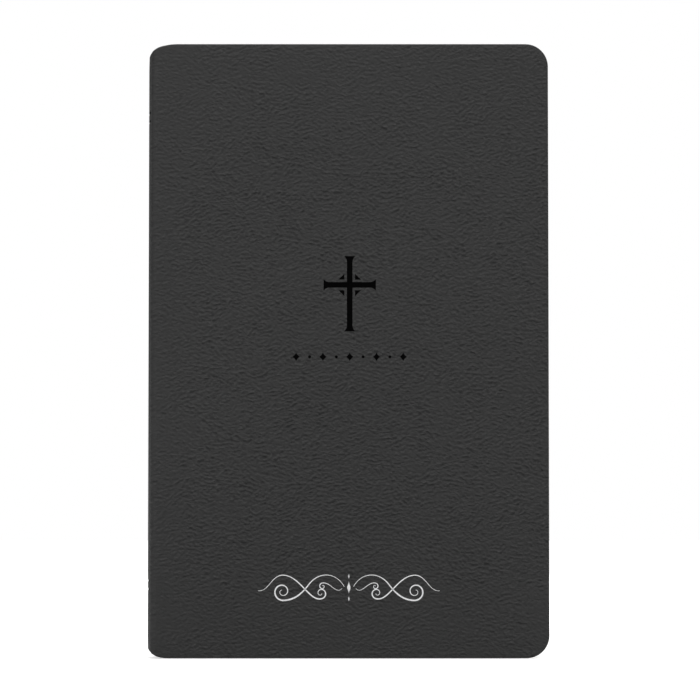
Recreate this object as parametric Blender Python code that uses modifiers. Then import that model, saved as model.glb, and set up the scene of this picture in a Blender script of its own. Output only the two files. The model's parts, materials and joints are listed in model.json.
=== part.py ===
"""A leather-look Bible with a soft cover, standing on its tail edge with the front cover facing -Y.

Frame: metres, +Z up the book, +X from the spine to the fore-edge, +Y towards the back cover.
The origin is the middle of the closed book's footprint, on the surface it stands on.

The book opens about vertical axes. The back cover is the fixed piece. The spine turns on the back
joint, and the front joint and the leaves turn on the spine. The front cover turns on the front
joint, and the front flyleaf stays with that joint. Each leaf turns where it bends, and in the
closed book those bends lie on two lines at 45 degrees from the cover joints to the middle of the
block, so the leaves stay stacked and clear of one another at every opening angle.
"""

import math

import bmesh
import bpy

MM = 0.001

# Outside of the closed book
COVER_WIDTH = 141.2 * MM
COVER_HEIGHT = 216.0 * MM
THICKNESS = 25.4 * MM
FORE_CORNER_RADIUS = 8.0 * MM

# The head edge of the cover curves down to the spine as part of an ellipse
HEAD_DIP_WIDTH = 10.6 * MM
HEAD_ELLIPSE_X = 12.56 * MM
HEAD_ELLIPSE_Z = 7.97 * MM
# and the tail edge curves up to it as part of another
TAIL_DIP_WIDTH = 7.5 * MM
TAIL_ELLIPSE_X = 9.6 * MM
TAIL_ELLIPSE_Z = 7.8 * MM
# so the spine is shorter than the cover
SPINE_HEAD_DROP = 2.0 * MM
SPINE_TAIL_RISE = 2.2 * MM

# Layers of a cover, from the outside in
LEATHER = 0.6 * MM
BOARD = 0.8 * MM
TURN_IN = 0.5 * MM
PASTEDOWN = 0.2 * MM
GLUE_LINE = 0.05 * MM
TURN_IN_WIDTH = 14.0 * MM
PASTEDOWN_MARGIN = 4.0 * MM
SLOT_PLAY = 0.1 * MM
COVER_EDGE_BEVEL = 0.35 * MM

# Cover joints
SPINE_BULGE = 1.9 * MM
JOINT_OFFSET = 2.1 * MM
JOINT_GAP = 0.15 * MM
JOINT_WIDTH = 2.0 * MM
BOARD_START = 2.2 * MM

# Block of pages
SQUARE = 4.0 * MM
PAGE_CORNER_RADIUS = 6.0 * MM
SECTIONS_EACH_SIDE = 12
LEAF = 0.2 * MM
LEAF_GAP = 0.06 * MM
COVER_CLEARANCE = 0.1 * MM
RIBBON_SLOT = 0.45 * MM
BEND_SETBACK = 0.6 * MM
FOLD_CLEARANCE = 0.1 * MM

# Layers on the back of the block: depth below the outside of the spine, and thickness
INLAY_DEPTH, INLAY = 0.65 * MM, 0.5 * MM
LINING_DEPTH, LINING = 1.25 * MM, 0.2 * MM
MULL_DEPTH, MULL = 1.5 * MM, 0.2 * MM
GLUE_DEPTH, GLUE = 1.75 * MM, 0.3 * MM
THREAD_DEPTH, THREAD_RADIUS = 2.32 * MM, 0.15 * MM
BACKBONE_DEPTH = 2.6 * MM
INLAY_HALF_WIDTH = 11.0 * MM
LINING_HALF_WIDTH = 9.8 * MM
INLAY_END_SETBACK = 4.0 * MM
LINING_END_SETBACK = 2.0 * MM
MULL_END_SETBACK = 12.0 * MM
GLUE_END_SETBACK = 0.5 * MM
SEWING_STATIONS = 5
SEWING_END_SETBACK = 14.0 * MM
STITCH_RISE = 0.9 * MM

BAND_RADIUS = 0.7 * MM
BAND_SETBACK = 1.1 * MM
BAND_GAP = 0.1 * MM

RIBBON_WIDTH = 6.0 * MM
RIBBON = 0.2 * MM
RIBBON_DRIFT = 22.0 * MM
RIBBON_END_SETBACK = 9.0 * MM

# Cross pressed into the front cover
CROSS_CENTRE_Z = 130.8 * MM
CROSS_ABOVE = 10.1 * MM
CROSS_BELOW = 16.3 * MM
CROSS_ARM = 9.15 * MM
CROSS_BAR = 1.92 * MM
CROSS_FLARE = 3.9 * MM
CROSS_FLARE_LENGTH = 2.0 * MM
CROSS_DEPTH = 0.2 * MM
CROSS_X = 0.7 * MM

SPINE_X = -COVER_WIDTH / 2
FORE_X = COVER_WIDTH / 2
FRONT_Y = -THICKNESS / 2
BACK_Y = THICKNESS / 2
JOINT_X = SPINE_X + SPINE_BULGE
FRONT_JOINT_Y = FRONT_Y - JOINT_OFFSET
BACK_JOINT_Y = BACK_Y + JOINT_OFFSET
PAGE_TAIL_Z = SQUARE
PAGE_HEAD_Z = COVER_HEIGHT - SQUARE
PAGE_FORE_X = FORE_X - SQUARE
COVER_THICKNESS = LEATHER + BOARD + TURN_IN + PASTEDOWN + 3 * GLUE_LINE
SPINE_RADIUS = ((THICKNESS / 2) ** 2 + SPINE_BULGE**2) / (2 * SPINE_BULGE)

LEAF_COUNT = 4
GAP_COUNT = 2 * SECTIONS_EACH_SIDE + 2
SECTION = (
    THICKNESS
    - 2 * (COVER_THICKNESS + COVER_CLEARANCE)
    - LEAF_COUNT * LEAF
    - GAP_COUNT * LEAF_GAP
    - RIBBON_SLOT
) / (2 * SECTIONS_EACH_SIDE)


# ---------------------------------------------------------------- scene and materials


def clear_scene():
    for obj in list(bpy.data.objects):
        bpy.data.objects.remove(obj)


def new_collection(name):
    collection = bpy.data.collections.new(name)
    bpy.context.scene.collection.children.link(collection)
    return collection


def new_material(name, colour, roughness, metallic=0.0):
    material = bpy.data.materials.new(name)
    material.use_nodes = True
    shader = material.node_tree.nodes["Principled BSDF"]
    shader.inputs["Base Color"].default_value = (*colour, 1.0)
    shader.inputs["Roughness"].default_value = roughness
    shader.inputs["Metallic"].default_value = metallic
    return material


clear_scene()
BIBLE = new_collection("bible")
CUTTERS = new_collection("cutters")

LEATHER_LOOK = new_material("charcoal_leather", (0.042, 0.042, 0.042), 0.55)
GREY_BOARD = new_material("grey_board", (0.42, 0.38, 0.33), 0.9)
ENDPAPER = new_material("endpaper", (0.045, 0.045, 0.047), 0.8)
PAGE_PAPER = new_material("page_paper", (0.86, 0.83, 0.76), 0.85)
MAP_PAPER = new_material("map_paper", (0.88, 0.86, 0.8), 0.45)
KRAFT_PAPER = new_material("kraft_paper", (0.45, 0.31, 0.18), 0.9)
MULL_CLOTH = new_material("mull_cloth", (0.78, 0.76, 0.7), 0.95)
BINDING_GLUE = new_material("binding_glue", (0.82, 0.78, 0.62), 0.4)
SEWING_THREAD = new_material("sewing_thread", (0.85, 0.84, 0.8), 0.8)
BAND_CLOTH = new_material("band_cloth", (0.06, 0.06, 0.065), 0.7)
RIBBON_SATIN = new_material("ribbon_satin", (0.05, 0.05, 0.055), 0.4)


# ---------------------------------------------------------------- pivots and placing


def add_pivot(name, x, y, parent=None):
    """An empty on a vertical joint axis. x and y are in the book's frame."""
    pivot = bpy.data.objects.new(name, None)
    pivot.empty_display_size = 4 * MM
    BIBLE.objects.link(pivot)
    pivot["world_x"] = x
    pivot["world_y"] = y
    pivot.location = (x, y, 0)
    if parent:
        pivot.parent = parent
        pivot.location = (x - parent["world_x"], y - parent["world_y"], 0)
    return pivot


def place(obj, pivot, location):
    """Parents obj to its pivot so that its origin stands at location in the book's frame."""
    x, y, z = location
    obj.parent = pivot
    obj.location = (x - pivot["world_x"], y - pivot["world_y"], z)


# ---------------------------------------------------------------- shapes


def flat_curve(name, outline, thickness, material, collection=BIBLE):
    """A closed outline filled on both sides and extruded by half its thickness each way."""
    curve = bpy.data.curves.new(name, "CURVE")
    curve.dimensions = "2D"
    curve.fill_mode = "BOTH"
    curve.extrude = thickness / 2
    spline = curve.splines.new("POLY")
    spline.points.add(len(outline) - 1)
    for point, (u, v) in zip(spline.points, outline, strict=True):
        point.co = (u, v, 0, 1)
    spline.use_cyclic_u = True
    curve.materials.append(material)
    obj = bpy.data.objects.new(name, curve)
    collection.objects.link(obj)
    return obj


def sheet(name, outline, y_low, y_high, pivot, material, collection=BIBLE):
    """A flat piece parallel to the covers. The outline is in (x, z)."""
    obj = flat_curve(name, outline, y_high - y_low, material, collection)
    obj.rotation_euler = (math.pi / 2, 0, 0)
    place(obj, pivot, (0, (y_low + y_high) / 2, 0))
    return obj


def column(name, section, z_low, z_high, pivot, material):
    """A piece of constant section up the book. The section is in (x, y)."""
    obj = flat_curve(name, section, z_high - z_low, material)
    place(obj, pivot, (0, 0, (z_low + z_high) / 2))
    return obj


def cord(name, points, radius, pivot, material):
    """A round cord through points in the book's frame."""
    curve = bpy.data.curves.new(name, "CURVE")
    curve.dimensions = "3D"
    curve.bevel_depth = radius
    curve.bevel_resolution = 2
    curve.use_fill_caps = True
    spline = curve.splines.new("POLY")
    spline.points.add(len(points) - 1)
    for point, position in zip(spline.points, points, strict=True):
        point.co = (*position, 1)
    curve.materials.append(material)
    obj = bpy.data.objects.new(name, curve)
    BIBLE.objects.link(obj)
    place(obj, pivot, (0, 0, 0))
    return obj


def as_mesh(obj):
    """Replaces a curve object by the welded mesh it makes, so that modifiers can cut and bevel it."""
    bpy.context.view_layer.update()
    graph = bpy.context.evaluated_depsgraph_get()
    mesh = bpy.data.meshes.new_from_object(obj.evaluated_get(graph))
    work = bmesh.new()
    work.from_mesh(mesh)
    bmesh.ops.remove_doubles(work, verts=work.verts, dist=0.001 * MM)
    work.to_mesh(mesh)
    work.free()
    name, parent, matrix = obj.name, obj.parent, obj.matrix_world.copy()
    collection = obj.users_collection[0]
    bpy.data.objects.remove(obj)
    solid = bpy.data.objects.new(name, mesh)
    collection.objects.link(solid)
    solid.parent = parent
    solid.matrix_world = matrix
    return solid


def bevel_edges(obj, width):
    bevel = obj.modifiers.new("rounded_edges", "BEVEL")
    bevel.width = width
    bevel.segments = 2
    bevel.limit_method = "ANGLE"
    bevel.angle_limit = math.radians(60)


def cut(obj, cutter):
    cutter.hide_render = True
    cutter.display_type = "WIRE"
    boolean = obj.modifiers.new("cut_" + cutter.name, "BOOLEAN")
    boolean.operation = "DIFFERENCE"
    boolean.solver = "EXACT"
    boolean.object = cutter


# ---------------------------------------------------------------- outlines


def arc_points(centre_u, centre_v, radius, start_deg, end_deg, steps):
    points = []
    for i in range(steps + 1):
        angle = math.radians(start_deg + (end_deg - start_deg) * i / steps)
        points.append((centre_u + radius * math.cos(angle), centre_v + radius * math.sin(angle)))
    return points


def ellipse_drop(distance, half_x, half_z):
    """How far an ellipse has fallen at a distance past its highest point."""
    share = min(max(distance, 0) / half_x, 1)
    return half_z * (1 - math.sqrt(1 - share * share))


def cover_head_z(x):
    return COVER_HEIGHT - ellipse_drop(SPINE_X + HEAD_DIP_WIDTH - x, HEAD_ELLIPSE_X, HEAD_ELLIPSE_Z)


def cover_tail_z(x):
    return ellipse_drop(SPINE_X + TAIL_DIP_WIDTH - x, TAIL_ELLIPSE_X, TAIL_ELLIPSE_Z)


def cover_outline(x_from, inset=0.0):
    """The cover's outline in (x, z) from x_from to the fore-edge, drawn in by inset."""
    steps = 5
    tail_stop = max(SPINE_X + TAIL_DIP_WIDTH, x_from)
    head_stop = max(SPINE_X + HEAD_DIP_WIDTH, x_from)
    right, head, tail = FORE_X - inset, COVER_HEIGHT - inset, inset
    radius = max(FORE_CORNER_RADIUS - inset, 1.5 * MM)
    points = []
    for i in range(steps):
        x = x_from + (tail_stop - x_from) * i / steps
        points.append((x, cover_tail_z(x) + inset))
    points.append((tail_stop, tail))
    points += arc_points(right - radius, tail + radius, radius, -90, 0, 8)
    points += arc_points(right - radius, head - radius, radius, 0, 90, 8)
    points.append((head_stop, head))
    for i in reversed(range(steps)):
        x = x_from + (head_stop - x_from) * i / steps
        points.append((x, cover_head_z(x) - inset))
    return points


def joint_outline(x_from, x_to):
    """The narrow strip of leather between the spine and a board, in (x, z)."""
    return [
        (x_from, cover_tail_z(x_from)),
        (x_to, cover_tail_z(x_to)),
        (x_to, cover_head_z(x_to)),
        (x_from, cover_head_z(x_from)),
    ]


def page_outline(x_from):
    """A leaf's outline in (x, z), with its two outer corners rounded."""
    radius = PAGE_CORNER_RADIUS
    points = [(x_from, PAGE_TAIL_Z)]
    points += arc_points(PAGE_FORE_X - radius, PAGE_TAIL_Z + radius, radius, -90, 0, 6)
    points += arc_points(PAGE_FORE_X - radius, PAGE_HEAD_Z - radius, radius, 0, 90, 6)
    points.append((x_from, PAGE_HEAD_Z))
    return points


def spine_x(y, depth):
    """Where the layer at this depth below the outside of the spine lies, at y."""
    radius = SPINE_RADIUS - depth
    return SPINE_X + SPINE_RADIUS - math.sqrt(radius * radius - y * y)


def spread(half_width, steps=12):
    """Evenly spaced values from minus half_width to half_width."""
    return [half_width * (2 * i / steps - 1) for i in range(steps + 1)]


def widest_y(depth):
    """The half width of the layer at this depth where it meets the plane of the cover joints."""
    return math.sqrt((SPINE_RADIUS - depth) ** 2 - (SPINE_RADIUS - SPINE_BULGE) ** 2)


def spine_band(depth, thickness, half_width):
    """Section of a curved layer of the spine, in (x, y), ending square to the layer."""
    ends = half_width / (SPINE_RADIUS - depth)
    outer, inner = SPINE_RADIUS - depth, SPINE_RADIUS - depth - thickness
    centre_x = SPINE_X + SPINE_RADIUS
    angles = spread(ends)
    points = [(centre_x - outer * math.cos(a), outer * math.sin(a)) for a in angles]
    points += [(centre_x - inner * math.cos(a), inner * math.sin(a)) for a in reversed(angles)]
    return points


def cross_outline():
    """A Latin cross with flared ends, in (x, z)."""
    bar, flare, neck = CROSS_BAR / 2, CROSS_FLARE / 2, CROSS_FLARE_LENGTH
    arm, above, below = CROSS_ARM, CROSS_ABOVE, CROSS_BELOW
    right_side = [
        (flare, -below),
        (bar, neck - below),
        (bar, -bar),
        (arm - neck, -bar),
        (arm, -flare),
        (arm, flare),
        (arm - neck, bar),
        (bar, bar),
        (bar, above - neck),
        (flare, above),
    ]
    left_side = [(-x, z) for x, z in reversed(right_side)]
    return [(CROSS_X + x, CROSS_CENTRE_Z + z) for x, z in right_side + left_side]


# ---------------------------------------------------------------- covers


def build_cover(side, pivot):
    """Leather with turned-in edges, the board inside it, and the pastedown. side is front or back."""
    outward = -1 if side == "front" else 1
    face_y = outward * THICKNESS / 2

    def slab(name, outline, depth, thickness, material, collection=BIBLE):
        a = face_y - outward * depth
        b = face_y - outward * (depth + thickness)
        return sheet(name, outline, min(a, b), max(a, b), pivot, material, collection)

    board_depth = LEATHER + GLUE_LINE
    turn_in_depth = board_depth + BOARD + GLUE_LINE
    pastedown_depth = turn_in_depth + TURN_IN + GLUE_LINE
    start = JOINT_X + BOARD_START

    whole = slab(f"{side}_cover_leather", cover_outline(start), 0, turn_in_depth + TURN_IN, LEATHER_LOOK)
    leather = as_mesh(whole)
    bevel_edges(leather, COVER_EDGE_BEVEL)

    pocket = slab(
        f"{side}_board_pocket",
        cover_outline(start + LEATHER, LEATHER),
        LEATHER,
        BOARD + 2 * GLUE_LINE,
        LEATHER_LOOK,
        CUTTERS,
    )
    cut(leather, as_mesh(pocket))
    window = slab(
        f"{side}_turn_in_window",
        cover_outline(start + TURN_IN_WIDTH, TURN_IN_WIDTH),
        LEATHER + BOARD / 2,
        BOARD + TURN_IN + 1 * MM,
        LEATHER_LOOK,
        CUTTERS,
    )
    cut(leather, as_mesh(window))

    board_outline = cover_outline(start + LEATHER + SLOT_PLAY, LEATHER + SLOT_PLAY)
    slab(f"{side}_cover_board", board_outline, board_depth, BOARD, GREY_BOARD)
    pastedown_outline = cover_outline(start + SLOT_PLAY, PASTEDOWN_MARGIN)
    slab(f"{side}_pastedown", pastedown_outline, pastedown_depth, PASTEDOWN, ENDPAPER)
    return leather


def press_cross(leather):
    """Presses the cross into the front cover's face."""
    cutter = sheet(
        "cross_die",
        cross_outline(),
        FRONT_Y - 1 * MM,
        FRONT_Y + CROSS_DEPTH,
        leather.parent,
        LEATHER_LOOK,
        CUTTERS,
    )
    cut(leather, as_mesh(cutter))


def build_joint_leather(side, pivot):
    """The flexible strip of cover between the spine and a board."""
    outline = joint_outline(JOINT_X + JOINT_GAP, JOINT_X + JOINT_WIDTH)
    if side == "front":
        sheet("front_joint_leather", outline, FRONT_Y, FRONT_Y + LEATHER, pivot, LEATHER_LOOK)
    else:
        sheet("back_joint_leather", outline, BACK_Y - LEATHER, BACK_Y, pivot, LEATHER_LOOK)


# ---------------------------------------------------------------- spine


def build_spine(pivot):
    head, tail = PAGE_HEAD_Z, PAGE_TAIL_Z
    low, high = SPINE_TAIL_RISE, COVER_HEIGHT - SPINE_HEAD_DROP
    outside = [(spine_x(y, 0), y) for y in spread(widest_y(0))]
    inside = [(spine_x(y, LEATHER), y) for y in reversed(spread(widest_y(LEATHER)))]
    column("spine_leather", outside + inside, low, high, pivot, LEATHER_LOOK)
    inlay = spine_band(INLAY_DEPTH, INLAY, INLAY_HALF_WIDTH)
    ends = INLAY_END_SETBACK
    column("spine_inlay", inlay, tail + ends, head - ends, pivot, GREY_BOARD)
    lining = spine_band(LINING_DEPTH, LINING, LINING_HALF_WIDTH)
    ends = LINING_END_SETBACK
    column("spine_lining_paper", lining, tail + ends, head - ends, pivot, KRAFT_PAPER)
    mull = spine_band(MULL_DEPTH, MULL, LINING_HALF_WIDTH)
    ends = MULL_END_SETBACK
    column("spine_mull", mull, tail + ends, head - ends, pivot, MULL_CLOTH)
    glue = spine_band(GLUE_DEPTH, GLUE, LINING_HALF_WIDTH)
    ends = GLUE_END_SETBACK
    column("spine_glue", glue, tail + ends, head - ends, pivot, BINDING_GLUE)


def build_section_folds(pivot):
    """The sewn folds of all the sections, which stay with the spine when the leaves turn."""
    half = SECTIONS_EACH_SIDE * (SECTION + LEAF_GAP) + RIBBON_SLOT / 2
    back = [(spine_x(y, BACKBONE_DEPTH), y) for y in reversed(spread(half))]
    edge_x = JOINT_X + (-half - FRONT_JOINT_Y) - FOLD_CLEARANCE
    apex_x = JOINT_X - FRONT_JOINT_Y - FOLD_CLEARANCE
    section = back + [(edge_x, -half), (apex_x, 0), (edge_x, half)]
    column("section_folds", section, PAGE_TAIL_Z, PAGE_HEAD_Z, pivot, PAGE_PAPER)


def build_sewing(pivot):
    """One row of linked stitches across the folds at each sewing station."""
    low = PAGE_TAIL_Z + SEWING_END_SETBACK
    high = PAGE_HEAD_Z - SEWING_END_SETBACK
    steps = 2 * SECTIONS_EACH_SIDE
    half = SECTIONS_EACH_SIDE * (SECTION + LEAF_GAP)
    for station in range(SEWING_STATIONS):
        z = low + (high - low) * station / (SEWING_STATIONS - 1)
        points = []
        for i in range(steps + 1):
            y = half * (2 * i / steps - 1)
            rise = STITCH_RISE if i % 2 else 0
            points.append((spine_x(y, THREAD_DEPTH), y, z + rise))
        cord(f"sewing_thread_{station + 1}", points, THREAD_RADIUS, pivot, SEWING_THREAD)


def build_band(name, z, pivot):
    """A head band or tail band: a covered cord along the end of the block's back."""
    half = SECTIONS_EACH_SIDE * (SECTION + LEAF_GAP)
    points = [(spine_x(y, BACKBONE_DEPTH) + BAND_SETBACK, y, z) for y in spread(half)]
    cord(name, points, BAND_RADIUS, pivot, BAND_CLOTH)


# ---------------------------------------------------------------- leaves


def bend_x(y):
    """Where a leaf at depth y bends: as far past the joint as it is deep behind the joint's axis."""
    if y < 0:
        return JOINT_X + (y - FRONT_JOINT_Y)
    return JOINT_X + (BACK_JOINT_Y - y)


def build_leaf(name, y_low, y_high, spine, material):
    """A leaf or a section of leaves, on its own pivot at its bend."""
    middle = (y_low + y_high) / 2
    x = bend_x(middle)
    pivot = add_pivot(name + "_pivot", x, middle, spine)
    sheet(name, page_outline(x + BEND_SETBACK), y_low, y_high, pivot, material)


def build_front_flyleaf(joint, y_low, y_high):
    """The free half of the front endpaper, which stays with the front joint."""
    x = bend_x((y_low + y_high) / 2)
    sheet("front_flyleaf", page_outline(x + BEND_SETBACK), y_low, y_high, joint, ENDPAPER)


def build_block(spine, front_joint):
    y = FRONT_Y + COVER_THICKNESS + COVER_CLEARANCE
    build_front_flyleaf(front_joint, y, y + LEAF)
    y += LEAF + LEAF_GAP
    build_leaf("presentation_leaf", y, y + LEAF, spine, MAP_PAPER)
    y += LEAF + LEAF_GAP
    for i in range(2 * SECTIONS_EACH_SIDE):
        if i == SECTIONS_EACH_SIDE:
            y += RIBBON_SLOT - LEAF_GAP
        build_leaf(f"section_{i + 1:02d}", y, y + SECTION, spine, PAGE_PAPER)
        y += SECTION + LEAF_GAP
    build_leaf("map_leaf", y, y + LEAF, spine, MAP_PAPER)
    y += LEAF + LEAF_GAP
    build_leaf("back_flyleaf", y, y + LEAF, spine, ENDPAPER)


def build_ribbon(spine):
    """The marker, lying in the middle opening and drifting away from the fold towards the tail."""
    x = JOINT_X - FRONT_JOINT_Y
    pivot = add_pivot("ribbon_marker_pivot", x, 0, spine)
    steps = 8
    head, tail = PAGE_HEAD_Z, PAGE_TAIL_Z + RIBBON_END_SETBACK
    left = []
    for i in range(steps + 1):
        share = i / steps
        drift = RIBBON_DRIFT * share * share
        left.append((x + BEND_SETBACK + drift, head + (tail - head) * share))
    right = [(u + RIBBON_WIDTH, v) for u, v in reversed(left)]
    sheet("ribbon_marker", left + right, -RIBBON / 2, RIBBON / 2, pivot, RIBBON_SATIN)


# ---------------------------------------------------------------- the book


def build_bible():
    back_cover = add_pivot("back_cover_frame", 0, 0)
    spine = add_pivot("spine_pivot", JOINT_X, BACK_JOINT_Y, back_cover)
    front_joint = add_pivot("front_joint_pivot", JOINT_X, FRONT_JOINT_Y, spine)
    front_cover = add_pivot("front_cover_pivot", JOINT_X, FRONT_JOINT_Y, front_joint)

    build_cover("back", back_cover)
    build_joint_leather("back", back_cover)
    press_cross(build_cover("front", front_cover))
    build_joint_leather("front", front_joint)

    build_spine(spine)
    build_section_folds(spine)
    build_sewing(spine)
    band_reach = BAND_GAP + BAND_RADIUS
    build_band("head_band", PAGE_HEAD_Z + band_reach, spine)
    build_band("tail_band", PAGE_TAIL_Z - band_reach, spine)
    build_block(spine, front_joint)
    build_ribbon(spine)


build_bible()
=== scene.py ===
"""Looks of the Bible: a charcoal leather-look cover with a pressed black cross and silver foil, thin
cream pages, dark endpapers, a head band, a tail band and a ribbon, in plain studio light.

Metres, +Z up the book, +X from the spine to the fore-edge, front cover facing -Y.
"""

import json
import math
import random

import bmesh
import bpy
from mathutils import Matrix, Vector


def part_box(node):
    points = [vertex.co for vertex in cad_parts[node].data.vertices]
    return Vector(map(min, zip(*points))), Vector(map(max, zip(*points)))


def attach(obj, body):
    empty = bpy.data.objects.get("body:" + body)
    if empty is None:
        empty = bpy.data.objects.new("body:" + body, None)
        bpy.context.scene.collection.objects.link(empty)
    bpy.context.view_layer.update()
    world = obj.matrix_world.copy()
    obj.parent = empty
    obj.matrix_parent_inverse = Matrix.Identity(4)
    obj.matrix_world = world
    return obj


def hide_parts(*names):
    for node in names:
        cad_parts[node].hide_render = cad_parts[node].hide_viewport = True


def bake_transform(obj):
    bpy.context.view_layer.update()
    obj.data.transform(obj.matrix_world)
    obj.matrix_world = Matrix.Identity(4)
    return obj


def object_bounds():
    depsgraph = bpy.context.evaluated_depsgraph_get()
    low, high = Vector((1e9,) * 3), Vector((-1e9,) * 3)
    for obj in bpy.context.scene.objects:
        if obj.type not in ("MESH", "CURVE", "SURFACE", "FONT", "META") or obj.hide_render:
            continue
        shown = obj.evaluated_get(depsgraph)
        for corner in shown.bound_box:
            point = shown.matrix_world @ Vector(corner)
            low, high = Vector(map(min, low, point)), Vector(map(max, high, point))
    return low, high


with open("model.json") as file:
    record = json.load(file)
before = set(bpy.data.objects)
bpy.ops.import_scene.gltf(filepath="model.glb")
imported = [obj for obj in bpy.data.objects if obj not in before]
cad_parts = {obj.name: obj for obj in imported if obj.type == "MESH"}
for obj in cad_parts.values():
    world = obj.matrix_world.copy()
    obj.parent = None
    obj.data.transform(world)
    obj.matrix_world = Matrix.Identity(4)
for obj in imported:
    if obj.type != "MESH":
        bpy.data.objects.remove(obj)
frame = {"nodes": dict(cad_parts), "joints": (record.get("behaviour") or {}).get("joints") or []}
CAD_LOW, CAD_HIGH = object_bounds()
NODES = frame["nodes"]
JOINTS = {joint["name"]: joint for joint in frame["joints"]}

MM = 0.001

# Outline of the cover, as in the model
HEAD_DIP_WIDTH = 10.6 * MM
HEAD_ELLIPSE_X = 12.56 * MM
HEAD_ELLIPSE_Z = 7.97 * MM
TAIL_DIP_WIDTH = 7.5 * MM
TAIL_ELLIPSE_X = 9.6 * MM
TAIL_ELLIPSE_Z = 7.8 * MM
SPINE_HEAD_DROP = 3.3 * MM
FORE_CORNER_RADIUS = 8.0 * MM

# Edges of the leather
PANEL_THICKNESS = 2.05 * MM
SPINE_THICKNESS = 1.2 * MM
HINGE_THICKNESS = 0.9 * MM
FACE_EDGE_RADIUS = 1.0 * MM
INSIDE_EDGE_RADIUS = 0.45 * MM
FACE_FALL = 0.1 * MM
FACE_FALL_WIDTH = 6.0 * MM
SPINE_CORNER_RADIUS = 2.6 * MM
PANEL_START = 5.0 * MM  # from the joint to the stiff panel

# Zones of spine_section: 0 to 1 is the spine, 1 to 2 its corner and 2 to 3 the hinge
SPLIT_ZONE = 1.5
THIN_ZONE = 1.3
THICKENING_ZONES = (2.4, 2.95)

# Grain of the leather
RIPPLE_PITCH = 1.72 * MM
RIPPLE_LEAN = 0.4
CREASE_DRIFT = 2.8 * MM
CALM_SPINE = 25 * MM
CALM_END = 45 * MM
GRAIN_DEPTH = 0.41 * MM
PORE_DEPTH = 0.012 * MM

# Rules pressed across the spine
RULE_HEIGHTS = (24.0 * MM, 27.0 * MM, 189.0 * MM, 192.0 * MM)
RULE_WIDTH = 0.9 * MM
RULE_DEPTH = 0.14 * MM
RULE_REACH = 9.0 * MM

# Pages
SECTION_COUNT = 24
BACKBONE_DEPTH = 2.6 * MM
PAGE_CORNER_RADIUS = 6.0 * MM
BEND_REACH = 2.6 * MM  # a leaf's close columns lie this far to each side of its joint
FORE_EDGE_HOLLOW = 0.8 * MM
SHEET_THICKNESS = 0.12 * MM
LINE_PITCH = 3.05 * MM
TEXT_MIDDLE_X = 5.5 * MM
TEXT_WIDTH = 100 * MM
TEXT_GUTTER = 4.4 * MM
TAIL_MARGIN = 12 * MM
HEAD_MARGIN = 13 * MM
COLUMN_RULE = 0.26 * MM

# Ribbon
RIBBON_WIDTH = 6.0 * MM
RIBBON_THICKNESS = 0.14 * MM
RIBBON_CUT = 2.5 * MM

# Marks on the front cover
CROSS_CENTRE = (0.7 * MM, 130.8 * MM)
CROSS_ABOVE = 10.1 * MM
CROSS_BELOW = 16.3 * MM
CROSS_ARM = 9.15 * MM
CROSS_BAR = 1.92 * MM
CROSS_FLARE = 3.9 * MM
CROSS_FLARE_LENGTH = 2.0 * MM
MARK_DEPTH = 0.22 * MM
ORNAMENT_Z = 105.5 * MM
ORNAMENT_WIDTH = 37.6 * MM
ORNAMENT_COUNT = 9
FOIL_CENTRE = (0.4 * MM, 24.6 * MM)
FOIL_RELIEF = 0.03 * MM

SPINE_X, FORE_X = CAD_LOW.x, CAD_HIGH.x
FRONT_Y, BACK_Y = CAD_LOW.y, CAD_HIGH.y
HEAD_Z = CAD_HIGH.z
JOINT_X = JOINTS["book_open"]["pos_m"][0]
HALF_DEPTH = BACK_Y
SPINE_BULGE = JOINT_X - SPINE_X
SPINE_RADIUS = (HALF_DEPTH**2 + SPINE_BULGE**2) / (2 * SPINE_BULGE)
PAGE_TAIL_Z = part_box("section_folds")[0].z
PAGE_HEAD_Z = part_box("section_folds")[1].z
PAGE_FORE_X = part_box("section_12")[1].x


# ---------------------------------------------------------------- shader helpers


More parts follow.
